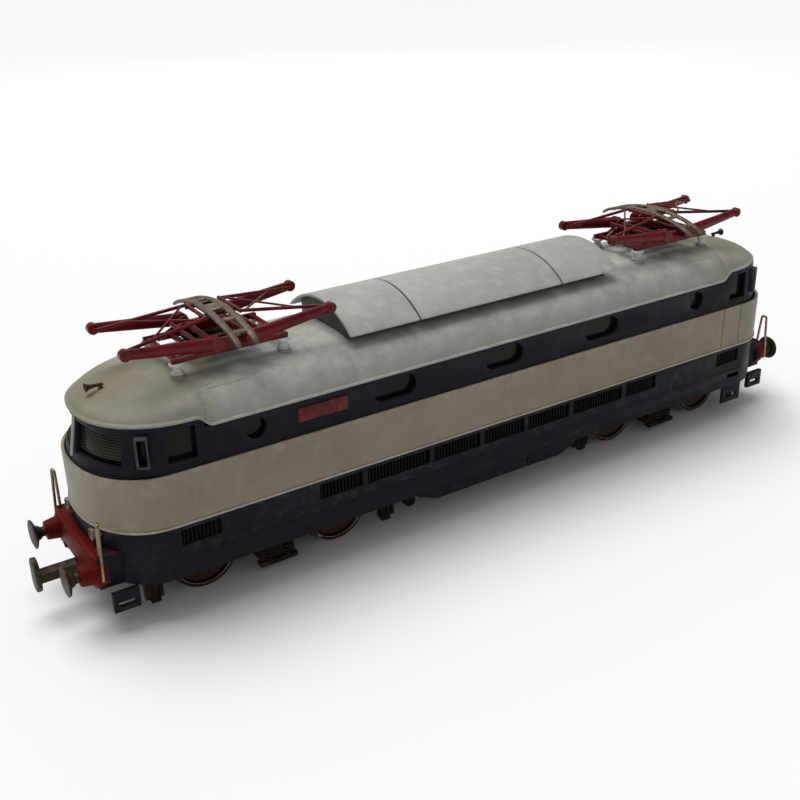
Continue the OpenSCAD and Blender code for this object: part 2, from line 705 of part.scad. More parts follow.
// Contact bow with two curved strips
module bow(c) color("#6d5a44") translate([c, 0, 0]) difference() {
    union() {
        for (x = [-1.9, 1.9]) intersection() {
            difference() {
                translate([x - 0.6, 0, bow_z - 39.2]) rotate([0, 90, 0]) cylinder(h = 1.2, r = 40, $fn = 96);
                translate([x - 1, 0, bow_z - 39.2]) rotate([0, 90, 0]) cylinder(h = 2, r = 39.3, $fn = 96);
            }
            block([-4, 4], [-15, 15], [bow_z - 4, bow_z + 2]);
        }
        for (y = [-3.6, 2.8]) block([-arm_pivot - 0.9, arm_pivot + 0.9], [y, y + 0.8], [bow_z - 0.8, bow_z + 0.5]);
    }
    for (x = [-arm_pivot, arm_pivot]) rod_y(x, [-6, 6], bow_z, 0.4 + fit);
}

// ---------- named parts ----------

module front_pickups() pickups(-pivot_x);
module rear_pickups() pickups(pivot_x);
module front_frame_screws() frame_screws(-pivot_x);
module rear_frame_screws() frame_screws(pivot_x);
module front_bogie_frame() bogie_frame(-pivot_x);
module rear_bogie_frame() bogie_frame(pivot_x);
module wheelset_1() wheelset(-pivot_x - half_base, true);
module wheelset_2() wheelset(-pivot_x + half_base, true);
module wheelset_3() wheelset(pivot_x - half_base, false);
module wheelset_4() wheelset(pivot_x + half_base, false);
module buffer_rear_left() buffer();
module buffer_rear_right() mirror([0, 1, 0]) buffer();
module buffer_front_left() mirror([1, 0, 0]) buffer();
module buffer_front_right() mirror([1, 0, 0]) mirror([0, 1, 0]) buffer();
module front_coupler() mirror([1, 0, 0]) coupler();
module rear_coupler() coupler();
module front_lower_arm_a() panto_side(-panto_x, -1) lower_arm();
module front_upper_arm_a() panto_side(-panto_x, -1) upper_arm();
module front_bow() bow(-panto_x);
module front_lower_arm_b() panto_side(-panto_x, 1) lower_arm();
module front_upper_arm_b() panto_side(-panto_x, 1) upper_arm();
module rear_lower_arm_a() panto_side(panto_x, -1) lower_arm();
module rear_upper_arm_a() panto_side(panto_x, -1) upper_arm();
module rear_bow() bow(panto_x);
module rear_lower_arm_b() panto_side(panto_x, 1) lower_arm();
module rear_upper_arm_b() panto_side(panto_x, 1) upper_arm();

body_shell();
waist_band();
roof_shell();
fairing_base();
fairing_panels();
side_grilles();
nameplates();
cab_glazing();
side_glazing();
corner_window_frames();
headlamp_rims();
headlamp_lenses();
buffer_beams();
corner_steps();
end_handrails();
roof_horns();
roof_insulators();
chassis_frame();
centre_skirts();
air_reservoirs();
ballast_weights();
circuit_board();
cab_bulbs();
body_screws();
rear_kingpin();
coupler_pins();
buffer_front_left();
buffer_front_right();
buffer_rear_left();
buffer_rear_right();
front_coupler();
rear_coupler();
motor_block();
motor_can();
armature();
reduction_gear();
idler_gear();
front_bogie_frame();
front_pickups();
front_frame_screws();
wheelset_1();
wheelset_2();
rear_bogie_block();
rear_bogie_frame();
rear_pickups();
rear_frame_screws();
wheelset_3();
wheelset_4();
panto_frames();
front_lower_arm_a();
front_upper_arm_a();
front_bow();
front_lower_arm_b();
front_upper_arm_b();
rear_lower_arm_a();
rear_upper_arm_a();
rear_bow();
rear_lower_arm_b();
rear_upper_arm_b();
panto_springs();
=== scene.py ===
import json
import math

import bmesh
import bpy
from mathutils import Matrix, Vector


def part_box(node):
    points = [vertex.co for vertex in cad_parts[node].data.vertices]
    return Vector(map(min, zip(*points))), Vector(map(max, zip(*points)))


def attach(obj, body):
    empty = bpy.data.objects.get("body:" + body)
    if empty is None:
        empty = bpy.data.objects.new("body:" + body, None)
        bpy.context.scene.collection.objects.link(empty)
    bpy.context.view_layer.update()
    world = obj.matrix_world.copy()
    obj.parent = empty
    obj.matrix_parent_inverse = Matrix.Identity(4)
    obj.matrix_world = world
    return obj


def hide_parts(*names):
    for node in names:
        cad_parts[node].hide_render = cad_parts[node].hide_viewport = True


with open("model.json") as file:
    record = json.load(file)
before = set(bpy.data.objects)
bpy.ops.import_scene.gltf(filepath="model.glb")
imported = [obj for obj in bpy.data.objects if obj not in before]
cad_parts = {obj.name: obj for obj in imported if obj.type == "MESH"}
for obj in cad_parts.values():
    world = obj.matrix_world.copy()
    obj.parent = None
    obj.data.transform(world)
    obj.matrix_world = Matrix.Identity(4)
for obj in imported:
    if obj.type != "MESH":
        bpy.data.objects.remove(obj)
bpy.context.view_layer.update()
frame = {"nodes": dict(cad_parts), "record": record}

mm = 0.001
mergeDistance = 0.002 * mm
nodes = frame["nodes"]
bodies = frame["record"]["behaviour"]["bodies"]
bodyOfNode = {node: body for body, members in bodies.items() for node in members}
slotOfNode = {part["node"]: part["material_slot"] for part in frame["record"]["subparts"]}
print("frame loaded:", len(nodes), "nodes")


def clearSelection():
    active = bpy.context.view_layer.objects.active
    if active and active.mode != "OBJECT":
        bpy.ops.object.mode_set(mode="OBJECT")
    bpy.ops.object.select_all(action="DESELECT")


def makeActive(piece):
    clearSelection()
    bpy.context.view_layer.objects.active = piece
    piece.select_set(True)


def settle(piece):      # puts a piece's place into its mesh
    makeActive(piece)
    bpy.ops.object.transform_apply(location=True, rotation=True, scale=True)


def applyModifier(piece, kind, **settings):
    makeActive(piece)
    modifier = piece.modifiers.new(kind.title(), kind)
    for key, value in settings.items():
        setattr(modifier, key, value)
    bpy.ops.object.modifier_apply(modifier=modifier.name)


def smooth(piece, angle=35):
    makeActive(piece)
    bpy.ops.object.shade_smooth_by_angle(angle=math.radians(angle))


def roundEdges(piece, width, segments=2, angle=32):
    applyModifier(piece, "BEVEL", width=width * mm, segments=segments, limit_method="ANGLE",
                  angle_limit=math.radians(angle), use_clamp_overlap=False)
    smooth(piece)


def selectFaces(piece, test):       # leaves the piece in edit mode with the chosen faces selected
    makeActive(piece)
    bpy.ops.object.mode_set(mode="EDIT")
    bpy.ops.mesh.select_mode(type="FACE")
    bpy.ops.mesh.select_all(action="DESELECT")
    mesh = bmesh.from_edit_mesh(piece.data)
    for face in mesh.faces:
        face.select = test(face)
    mesh.select_flush_mode()
    bmesh.update_edit_mesh(piece.data)


def fixNormals(piece):
    makeActive(piece)
    bpy.ops.object.mode_set(mode="EDIT")
    bpy.ops.mesh.select_all(action="SELECT")
    bpy.ops.mesh.remove_doubles(threshold=mergeDistance)
    bpy.ops.mesh.normals_make_consistent(inside=False)
    bpy.ops.object.mode_set(mode="OBJECT")


def joinPieces(name, pieces):
    clearSelection()
    for piece in pieces:
        piece.select_set(True)
    bpy.context.view_layer.objects.active = pieces[0]
    if len(pieces) > 1:
        bpy.ops.object.join()
    pieces[0].name = name
    return pieces[0]


def copyNode(node):                 # a merged copy of a CAD node, ready for shape work
    clearSelection()
    piece = bpy.data.objects.new(node + "_shape", nodes[node].data.copy())
    bpy.context.scene.collection.objects.link(piece)
    makeActive(piece)
    bpy.ops.mesh.customdata_custom_splitnormals_clear()
    bpy.ops.object.mode_set(mode="EDIT")
    bpy.ops.mesh.select_all(action="SELECT")
    bpy.ops.mesh.remove_doubles(threshold=mergeDistance)
    bpy.ops.mesh.dissolve_limited(angle_limit=math.radians(0.6))
    bpy.ops.object.mode_set(mode="OBJECT")
    return piece


def place(piece, body, slotName, material, *replacedNodes):
    piece.data.materials.clear()
    piece.data.materials.append(material)
    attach(piece, body)
    if replacedNodes:
        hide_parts(*replacedNodes)
    return piece


def wrapGrid(name, columns, rows, point, closed=True, caps=False):     # a grid bent into a skin
    clearSelection()
    bpy.ops.mesh.primitive_grid_add(x_subdivisions=columns, y_subdivisions=rows, size=2)
    piece = bpy.context.object
    piece.name = name
    for vertex in piece.data.vertices:
        column = round((vertex.co.x + 1) / 2 * columns)
        row = round((vertex.co.y + 1) / 2 * rows)
        vertex.co = point(column % columns if closed else column, row)
    if caps:
        makeActive(piece)
        bpy.ops.object.mode_set(mode="EDIT")
        bpy.ops.mesh.select_all(action="SELECT")
        bpy.ops.mesh.remove_doubles(threshold=mergeDistance)
        bpy.ops.mesh.select_all(action="DESELECT")
        bpy.ops.mesh.select_mode(type="EDGE")
        bpy.ops.mesh.select_non_manifold()
        bpy.ops.mesh.fill_holes(sides=0)
        bpy.ops.object.mode_set(mode="OBJECT")
    fixNormals(piece)
    return piece


def sweep(name, route, sizes, sides=12, flat=1.0, upward=Vector((0, 0, 1))):
    # a bar that follows a route; sizes are its half widths and flat its height over its width
    route = [Vector(p) * mm for p in route]
    directions = []
    for i in range(len(route)):
        before = route[max(i - 1, 0)]
        after = route[min(i + 1, len(route) - 1)]
        directions.append((after - before).normalized())

    def point(column, row):
        across = directions[row].cross(upward).normalized()
        up = across.cross(directions[row]).normalized()
        turn = 2 * math.pi * (column + 0.5) / sides
        size = sizes[row] * mm
        return route[row] + across * size * math.cos(turn) + up * size * flat * math.sin(turn)

    return wrapGrid(name, sides, len(route) - 1, point, closed=True, caps=True)


def bend(points, radius, steps=6):      # rounds the corners of a route
    points = [Vector(p) for p in points]
    route = [points[0]]
    for before, corner, after in zip(points, points[1:], points[2:]):
        a = corner + (before - corner).normalized() * radius
        b = corner + (after - corner).normalized() * radius
        for i in range(steps + 1):
            t = i / steps
            route.append(a * (1 - t) ** 2 + corner * 2 * t * (1 - t) + b * t ** 2)
    return route + [points[-1]]


def turned(name, profile, centre, axis, steps=48):
    # spins a profile of (distance along the axis, radius) about an axis through the centre
    clearSelection()
    axis = Vector(axis)
    side = Vector((0, 0, 1)) if abs(axis.z) < 0.5 else Vector((0, 1, 0))
    bpy.ops.mesh.primitive_plane_add(size=1)
    piece = bpy.context.object
    piece.name = name
    bpy.ops.object.mode_set(mode="EDIT")
    mesh = bmesh.from_edit_mesh(piece.data)
    bmesh.ops.delete(mesh, geom=mesh.verts[:], context="VERTS")
    line = [mesh.verts.new((Vector(centre) + axis * a + side * r) * mm) for a, r in profile]
    for a, b in zip(line, line[1:]):
        mesh.edges.new((a, b))
    for vertex in mesh.verts:
        vertex.select = True
    mesh.select_flush(True)
    bmesh.update_edit_mesh(piece.data)
    bpy.ops.mesh.spin(steps=steps, angle=2 * math.pi, center=Vector(centre) * mm, axis=axis)
    bpy.ops.object.mode_set(mode="OBJECT")
    fixNormals(piece)
    return piece


# effects that several finishes share

def newGroup(name, inputs, outputs):
    group = bpy.data.node_groups.new(name, "ShaderNodeTree")
    for label, kind, value in inputs:
        socket = group.interface.new_socket(name=label, in_out="INPUT", socket_type="NodeSocket" + kind)
        if value is not None:
            socket.default_value = value
    for label, kind in outputs:
        group.interface.new_socket(name=label, in_out="OUTPUT", socket_type="NodeSocket" + kind)
    return group, group.nodes.new("NodeGroupInput"), group.nodes.new("NodeGroupOutput")


def addNode(tree, kind, settings=None, **sockets):
    node = tree.nodes.new("ShaderNode" + kind)
    for key, value in (settings or {}).items():
        setattr(node, key, value)
    for label, value in sockets.items():
        feed(tree, node.inputs[label.replace("_", " ")], value)
    return node


def feed(tree, socket, value):
    if isinstance(value, bpy.types.NodeSocket):
        tree.links.new(value, socket)
    else:
        socket.default_value = value


def maths(tree, operation, first, second=0.5, third=None):
    node = tree.nodes.new("ShaderNodeMath")
    node.operation = operation
    for socket, value in zip(node.inputs, (first, second, third)):
        if value is not None:
            feed(tree, socket, value)
    return node.outputs[0]


def rangeOf(tree, value, low, high, toLow=0.0, toHigh=1.0):
    node = addNode(tree, "MapRange", Value=value)
    for label, number in zip(("From Min", "From Max", "To Min", "To Max"), (low, high, toLow, toHigh)):
        feed(tree, node.inputs[label], number)
    return node.outputs["Result"]


def blendColours(tree, factor, first, second, mode="MIX"):
    node = tree.nodes.new("ShaderNodeMix")
    node.data_type = "RGBA"
    node.blend_type = mode
    feed(tree, node.inputs["Factor"], factor)
    feed(tree, node.inputs[6], first)
    feed(tree, node.inputs[7], second)
    return node.outputs[2]


def noiseField(tree, vector, scale, detail=4.0, roughness=0.55):
    node = addNode(tree, "TexNoise", Vector=vector, Scale=scale, Detail=detail, Roughness=roughness)
    return node.outputs["Fac"]


def makeToneGroup():        # slow and quick changes of shade over a surface
    group, enter, leave = newGroup("toneField", [
        ("Place", "Vector", None), ("Base", "Color", (0.5, 0.5, 0.5, 1)),
        ("Shade", "Color", (0.3, 0.3, 0.3, 1)), ("Light", "Color", (0.7, 0.7, 0.7, 1)),
        ("Size", "Float", 60.0), ("Amount", "Float", 1.0)], [("Colour", "Color")])
    slow = noiseField(group, enter.outputs["Place"], enter.outputs["Size"], 5.0, 0.6)
    quickScale = maths(group, "MULTIPLY", enter.outputs["Size"], 6.3)
    quick = noiseField(group, enter.outputs["Place"], quickScale, 6.0, 0.65)
    shadeMask = maths(group, "MULTIPLY", rangeOf(group, slow, 0.42, 0.68), enter.outputs["Amount"])
    lightMask = maths(group, "MULTIPLY", rangeOf(group, quick, 0.5, 0.78), enter.outputs["Amount"])
    shaded = blendColours(group, shadeMask, enter.outputs["Base"], enter.outputs["Shade"])
    lit = blendColours(group, lightMask, shaded, enter.outputs["Light"])
    group.links.new(lit, leave.inputs["Colour"])
    return group


def makeWearGroup():        # paint rubbed off along the edges
    group, enter, leave = newGroup("edgeWear", [
        ("Place", "Vector", None), ("Amount", "Float", 1.0), ("Size", "Float", 500.0)], [("Mask", "Float")])
    pointed = group.nodes.new("ShaderNodeNewGeometry").outputs["Pointiness"]
    edge = rangeOf(group, pointed, 0.51, 0.6)
    patch = rangeOf(group, noiseField(group, enter.outputs["Place"], enter.outputs["Size"], 5.0), 0.5, 0.62)
    mask = maths(group, "MULTIPLY", maths(group, "MULTIPLY", edge, patch), enter.outputs["Amount"])
    group.links.new(mask, leave.inputs["Mask"])
    return group


def makeDustAndTopLightGroup():        # dust that has settled on upward faces; on the roof it is also painted light that makes the upward faces lighter than the slopes
    group, enter, leave = newGroup("settledDustAndTopLight", [
        ("Place", "Vector", None), ("Amount", "Float", 0.3), ("Size", "Float", 220.0)], [("Mask", "Float")])
    normal = group.nodes.new("ShaderNodeNewGeometry").outputs["Normal"]
    upward = addNode(group, "SeparateXYZ", Vector=normal).outputs["Z"]
    facing = rangeOf(group, upward, 0.1, 0.95)
    field = noiseField(group, enter.outputs["Place"], enter.outputs["Size"], 6.0, 0.7)
    cloud = rangeOf(group, field, 0.3, 0.75)
    mask = maths(group, "MULTIPLY", maths(group, "MULTIPLY", facing, cloud), enter.outputs["Amount"])
    group.links.new(mask, leave.inputs["Mask"])
    return group


def makeGrainGroup():       # the fine unevenness of sprayed paint, moulded plastic or cast metal
    group, enter, leave = newGroup("fineGrain", [
        ("Place", "Vector", None), ("Size", "Float", 2600.0), ("Waves", "Float", 0.5)],
        [("Height", "Float")])
    grain = noiseField(group, enter.outputs["Place"], enter.outputs["Size"], 3.0)
    waveScale = maths(group, "MULTIPLY", enter.outputs["Size"], 0.09)
    wave = noiseField(group, enter.outputs["Place"], waveScale, 2.0)
    height = maths(group, "MULTIPLY_ADD", wave, enter.outputs["Waves"], grain)
    group.links.new(height, leave.inputs["Height"])
    return group


def makePatchGroup():       # a soft round patch on the roof, the same at both ends
    group, enter, leave = newGroup("roundPatch", [
        ("Place", "Vector", None), ("Middle", "Float", 0.06), ("Reach", "Float", 0.03)],
        [("Mask", "Float")])
    parts = addNode(group, "SeparateXYZ", Vector=enter.outputs["Place"])
    along = maths(group, "SUBTRACT", maths(group, "ABSOLUTE", parts.outputs["X"]), enter.outputs["Middle"])
    squares = maths(group, "ADD", maths(group, "POWER", maths(group, "ABSOLUTE", along), 2.0),
                    maths(group, "POWER", maths(group, "ABSOLUTE", parts.outputs["Y"]), 2.0))
    distance = maths(group, "DIVIDE", maths(group, "SQRT", squares), enter.outputs["Reach"])
    cloud = noiseField(group, enter.outputs["Place"], 90.0, 5.0)
    ragged = maths(group, "MULTIPLY_ADD", cloud, 0.9, distance)
    group.links.new(rangeOf(group, ragged, 1.5, 0.7), leave.inputs["Mask"])
    return group


effects = {"tone": makeToneGroup(), "wear": makeWearGroup(), "dustAndTopLight": makeDustAndTopLightGroup(),
           "grain": makeGrainGroup(), "patch": makePatchGroup()}


def useEffect(tree, name, vector, **values):
    node = tree.nodes.new("ShaderNodeGroup")
    node.node_tree = effects[name]
    feed(tree, node.inputs["Place"], vector)
    for label, value in values.items():
        feed(tree, node.inputs[label], value)
    return node.outputs[0]


def colour(red, green, blue):
    return (red, green, blue, 1.0)


dustAndTopLightColour = colour(0.34, 0.31, 0.26)
grainDepth = 0.05 * mm
toneSize = 60.0
coatRoughness = 0.1


def finish(name, look):
    material = bpy.data.materials.new(name)
    material.use_nodes = True
    tree = material.node_tree
    shader = tree.nodes["Principled BSDF"]
    vector = tree.nodes.new("ShaderNodeTexCoord").outputs["Object"]
    if "stretch" in look:
        vector = addNode(tree, "Mapping", Vector=vector, Scale=look["stretch"]).outputs["Vector"]
    size = look.get("size", toneSize)
    base = useEffect(tree, "tone", vector, Base=look["base"], Shade=look["shade"], Light=look["light"],
                     Size=size)
    wear = useEffect(tree, "wear", vector, Amount=look.get("wear", 0.4))
    base = blendColours(tree, wear, base, look.get("bare", look["light"]))
    # settled dust on upward faces, which on the roof is also painted light on its top
    dustAndTopLight = useEffect(tree, "dustAndTopLight", vector, Amount=look.get("dustAndTopLight", 0.15))
    base = blendColours(tree, dustAndTopLight, base, look.get("dustAndTopLightColour", dustAndTopLightColour))
    if "soot" in look:
        mask = useEffect(tree, "patch", vector, Middle=look["sootAt"], Reach=look["sootReach"])
        base = blendColours(tree, maths(tree, "MULTIPLY", mask, look["sootAmount"]), base, look["soot"])
    tree.links.new(base, shader.inputs["Base Color"])
    cloud = noiseField(tree, vector, size * 5, 5.0)
    rough = rangeOf(tree, cloud, 0.3, 0.7, look["gloss"][0], look["gloss"][1])
    rough = maths(tree, "MULTIPLY_ADD", dustAndTopLight, 0.5, rough)
    tree.links.new(rough, shader.inputs["Roughness"])
    shader.inputs["Metallic"].default_value = look.get("metal", 0.0)
    shader.inputs["Coat Weight"].default_value = look.get("coat", 0.0)
    shader.inputs["Coat Roughness"].default_value = coatRoughness
    shader.inputs["Specular IOR Level"].default_value = look.get("specular", 0.5)
    shader.inputs["Transmission Weight"].default_value = look.get("clear", 0.0)
    height = useEffect(tree, "grain", vector)
    bump = addNode(tree, "Bump", Height=height, Strength=look.get("relief", 0.2), Distance=grainDepth)
    tree.links.new(bump.outputs["Normal"], shader.inputs["Normal"])
    return material


looks = {
    "navy": dict(
        base=colour(0.0065, 0.008, 0.014), shade=colour(0.0046, 0.0055, 0.0095),
        light=colour(0.0126, 0.0143, 0.0215), size=45.0, gloss=(0.36, 0.5), wear=0.35,
        bare=colour(0.0378, 0.0399, 0.05), dustAndTopLight=0.06, relief=0.25, specular=0.1),
    "cream": dict(
        base=colour(0.2376, 0.208, 0.1482), shade=colour(0.198, 0.1696, 0.1168),
        light=colour(0.2772, 0.2464, 0.1824), size=38.0, gloss=(0.34, 0.48), wear=0.9,
        bare=colour(0.4092, 0.384, 0.3078), dustAndTopLight=0.05, relief=0.2, specular=0.3),
    # the roof's high dust amount and pale dust colour make its upward faces lighter than its slopes: partly
    # settled dust, partly painted light from above
    "roof": dict(
        base=colour(0.29, 0.3, 0.275), shade=colour(0.24, 0.25, 0.232), light=colour(0.36, 0.37, 0.33),
        size=42.0, gloss=(0.42, 0.58), wear=0.35, bare=colour(0.572, 0.572, 0.5), dustAndTopLight=0.75,
        dustAndTopLightColour=colour(0.6, 0.6, 0.52), relief=0.3, soot=colour(0.2, 0.178, 0.118), sootAt=0.081,
        sootReach=0.027, sootAmount=0.9, specular=0.3),
    "fairing": dict(
        base=colour(0.378, 0.3885, 0.3502), shade=colour(0.3255, 0.336, 0.3039),
        light=colour(0.4725, 0.483, 0.4326), size=50.0, gloss=(0.36, 0.52), wear=0.35,
        bare=colour(0.5775, 0.5775, 0.515), dustAndTopLight=0.08, relief=0.3, specular=0.3),
    # dark grey for the fairing's base, which sits under the fairing's lip: painted shade
    "darkRoof": dict(
        base=colour(0.078, 0.081, 0.078), shade=colour(0.054, 0.0552, 0.054),
        light=colour(0.108, 0.111, 0.105), gloss=(0.45, 0.6), wear=0.3, dustAndTopLight=0.1, relief=0.3,
        specular=0.2),
    "black": dict(
        base=colour(0.003, 0.0032, 0.004), shade=colour(0.002, 0.002, 0.0025),
        light=colour(0.007, 0.0075, 0.009), gloss=(0.4, 0.55), wear=0.3, dustAndTopLight=0.03, relief=0.2,
        specular=0.06),
    "red": dict(
        base=colour(0.12, 0.0055, 0.004), shade=colour(0.075, 0.004, 0.003),
        light=colour(0.16, 0.012, 0.008), size=90.0, gloss=(0.45, 0.6), wear=0.35,
        bare=colour(0.16, 0.06, 0.04), dustAndTopLight=0.0, relief=0.25, specular=0.05),
    "plate": dict(
        base=colour(0.11, 0.015, 0.011), shade=colour(0.066, 0.01, 0.008),
        light=colour(0.154, 0.03, 0.0225), size=160.0, gloss=(0.35, 0.5), wear=0.6, dustAndTopLight=0.04,
        specular=0.12),
    "glass": dict(
        base=colour(0.009, 0.007, 0.0032), shade=colour(0.005, 0.004, 0.002),
        light=colour(0.016, 0.013, 0.007), size=70.0, gloss=(0.1, 0.2), wear=0.0, dustAndTopLight=0.0, relief=0.05,
        specular=0.12),
    "trim": dict(
        base=colour(0.14, 0.13, 0.115), shade=colour(0.06, 0.055, 0.05), light=colour(0.24, 0.23, 0.2),
        size=200.0, gloss=(0.35, 0.5), metal=0.6, wear=0.3, dustAndTopLight=0.02, specular=0.2),
    "frame": dict(
        base=colour(0.05, 0.048, 0.044), shade=colour(0.022, 0.021, 0.02),
        light=colour(0.1, 0.096, 0.088), size=200.0, gloss=(0.35, 0.5), metal=0.3, wear=0.3, dustAndTopLight=0.02,
        specular=0.15),
    "bead": dict(
        base=colour(0.34, 0.31, 0.245), shade=colour(0.25, 0.225, 0.17), light=colour(0.45, 0.42, 0.35),
        size=90.0, gloss=(0.32, 0.46), wear=0.5, dustAndTopLight=0.03, relief=0.2, specular=0.3),
    "lens": dict(
        base=colour(0.7, 0.68, 0.6), shade=colour(0.5, 0.47, 0.4), light=colour(0.8, 0.78, 0.72),
        size=300.0, gloss=(0.06, 0.12), clear=0.5, wear=0.0, dustAndTopLight=0.05),
    "blackened": dict(
        base=colour(0.036, 0.023, 0.012), shade=colour(0.016, 0.01, 0.006),
        light=colour(0.075, 0.052, 0.03), size=140.0, gloss=(0.4, 0.56), metal=0.35, wear=1.0,
        bare=colour(0.15, 0.11, 0.07), dustAndTopLight=0.04, specular=0.2),
    "brassWire": dict(
        base=colour(0.252, 0.189, 0.098), shade=colour(0.14, 0.1015, 0.0525),
        light=colour(0.35, 0.28, 0.168), size=180.0, gloss=(0.28, 0.42), metal=0.9, wear=0.5, dustAndTopLight=0.05),
    "insulator": dict(
        base=colour(0.561, 0.5525, 0.527), shade=colour(0.425, 0.4165, 0.391),
        light=colour(0.646, 0.6375, 0.6205), size=150.0, gloss=(0.25, 0.4), wear=0.1, dustAndTopLight=0.12,
        coat=0.3),
    "diecast": dict(
        base=colour(0.2, 0.2, 0.2), shade=colour(0.14, 0.14, 0.142), light=colour(0.28, 0.28, 0.28),
        gloss=(0.42, 0.6), metal=0.8, wear=0.3, dustAndTopLight=0.1, relief=0.35),
    "board": dict(
        base=colour(0.03, 0.1, 0.045), shade=colour(0.02, 0.07, 0.03), light=colour(0.05, 0.14, 0.07),
        size=300.0, gloss=(0.3, 0.45), dustAndTopLight=0.1),
    "steel": dict(
        base=colour(0.5, 0.5, 0.5), shade=colour(0.36, 0.36, 0.37), light=colour(0.62, 0.62, 0.62),
        size=200.0, gloss=(0.22, 0.38), metal=1.0, wear=0.2, dustAndTopLight=0.06),
    "copper": dict(
        base=colour(0.42, 0.16, 0.07), shade=colour(0.28, 0.1, 0.045), light=colour(0.55, 0.25, 0.13),
        size=250.0, gloss=(0.3, 0.45), metal=0.9, dustAndTopLight=0.05, stretch=(1.0, 6.0, 1.0)),
    "brass": dict(
        base=colour(0.55, 0.4, 0.16), shade=colour(0.4, 0.28, 0.11), light=colour(0.66, 0.52, 0.26),
        size=200.0, gloss=(0.25, 0.4), metal=1.0, dustAndTopLight=0.05),
    "underframe": dict(
        base=colour(0.0149, 0.0095, 0.0054), shade=colour(0.0072, 0.0049, 0.0032),
        light=colour(0.036, 0.0234, 0.0135), size=120.0, gloss=(0.42, 0.6), wear=0.9,
        bare=colour(0.0675, 0.045, 0.027), dustAndTopLight=0.04, relief=0.4, specular=0.08),
    "wheelFace": dict(
        base=colour(0.045, 0.0192, 0.0096), shade=colour(0.024, 0.0108, 0.006),
        light=colour(0.084, 0.042, 0.0228), size=130.0, gloss=(0.3, 0.46), metal=0.55, wear=0.4,
        dustAndTopLight=0.03, specular=0.2),
    "tyre": dict(
        base=colour(0.312, 0.27, 0.216), shade=colour(0.216, 0.18, 0.138),
        light=colour(0.396, 0.36, 0.312), size=260.0, gloss=(0.2, 0.34), metal=1.0, wear=0.2, dustAndTopLight=0.04),
    "crimson": dict(
        base=colour(0.135, 0.0035, 0.007), shade=colour(0.062, 0.002, 0.004),
        light=colour(0.2, 0.009, 0.014), size=120.0, gloss=(0.2, 0.32), wear=0.5,
        bare=colour(0.05, 0.02, 0.014), dustAndTopLight=0.02, coat=0.06, relief=0.12, specular=0.16),
    "bow": dict(
        base=colour(0.12, 0.085, 0.058), shade=colour(0.065, 0.045, 0.03), light=colour(0.2, 0.15, 0.108),
        size=130.0, gloss=(0.4, 0.56), metal=0.3, wear=0.8, bare=colour(0.26, 0.2, 0.15), dustAndTopLight=0.04,
        relief=0.3, specular=0.25),
    "bars": dict(
        base=colour(0.05, 0.043, 0.03), shade=colour(0.028, 0.024, 0.016), light=colour(0.08, 0.07, 0.05),
        size=200.0, gloss=(0.35, 0.5), dustAndTopLight=0.0, specular=0.12),
    "pillar": dict(
        base=colour(0.27, 0.2475, 0.2175), shade=colour(0.195, 0.1762, 0.15),
        light=colour(0.345, 0.3225, 0.2925), size=150.0, gloss=(0.35, 0.5), dustAndTopLight=0.05, specular=0.2),
    "bulb": dict(
        base=colour(0.6, 0.58, 0.5), shade=colour(0.45, 0.43, 0.36), light=colour(0.7, 0.69, 0.62),
        size=300.0, gloss=(0.1, 0.2), clear=0.4, dustAndTopLight=0.03),
}
finishes = {name: finish(name + "Finish", look) for name, look in looks.items()}
print("finishes made:", len(finishes))


view = dict(place=(-134.61, -181.11, 121.36), azimuth=33.14, down=24.43, roll=-1.36, lens=48.17, sensor=36,
            nearest=5)


def setCamera(v):
    azimuth, down, roll = (math.radians(v[key]) for key in ("azimuth", "down", "roll"))
    ahead = math.cos(down)
    forward = Vector((math.sin(azimuth) * ahead, math.cos(azimuth) * ahead, -math.sin(down)))
    level = Vector((math.cos(azimuth), -math.sin(azimuth), 0))
    upright = level.cross(forward)
    right = level * math.cos(roll) + upright * math.sin(roll)
    up = upright * math.cos(roll) - level * math.sin(roll)
    clearSelection()
    bpy.ops.object.camera_add()
    camera = bpy.context.object
    camera.name = "mainCamera"
    turn = Matrix((right, up, -forward)).transposed().to_4x4()
    camera.matrix_world = Matrix.Translation(Vector(v["place"]) * mm) @ turn
    camera.data.lens = v["lens"]
    camera.data.sensor_width = v["sensor"]
    camera.data.clip_start = v["nearest"] * mm
    bpy.context.scene.camera = camera


lights = [
    dict(name="skylight", kind="SUN", place=(-0.05, 0.3, 0.9), aim=(0, 0, 0), spread=math.radians(45),
         power=2.3),
    dict(name="frontFill", kind="AREA", place=(-0.45, -0.75, 0.4), aim=(0, 0, 0.02), spread=0.6,
         power=0.15),
    dict(name="backRim", kind="AREA", place=(0.35, 0.6, 0.4), aim=(0, 0, 0.03), spread=0.5, power=0.35),
]


def addLight(light):
    bpy.ops.object.light_add(type=light["kind"], location=light["place"])
    lamp = bpy.context.object
    lamp.name = light["name"]
    if light["kind"] == "SUN":
        lamp.data.angle = light["spread"]
    else:
        lamp.data.size = light["spread"]
    lamp.data.energy = light["power"]
    lamp.rotation_euler = (Vector(light["aim"]) - Vector(light["place"])).to_track_quat("-Z", "Y").to_euler()


floorSize = 60.0        # metres, so that its edge stays out of the camera's view


def makeFloor():
    clearSelection()
    bpy.ops.mesh.primitive_plane_add(size=floorSize)
    floor = bpy.context.object
    floor.name = "floor"
    material = bpy.data.materials.new("floorFinish")
    material.use_nodes = True
    shader = material.node_tree.nodes["Principled BSDF"]
    vector = material.node_tree.nodes.new("ShaderNodeTexCoord").outputs["Object"]
    cloud = noiseField(material.node_tree, vector, 3.0)
    pale = blendColours(material.node_tree, cloud, colour(0.92, 0.92, 0.92), colour(0.95, 0.95, 0.95))
    material.node_tree.links.new(pale, shader.inputs["Base Color"])
    shader.inputs["Roughness"].default_value = 0.9
    floor.data.materials.append(material)


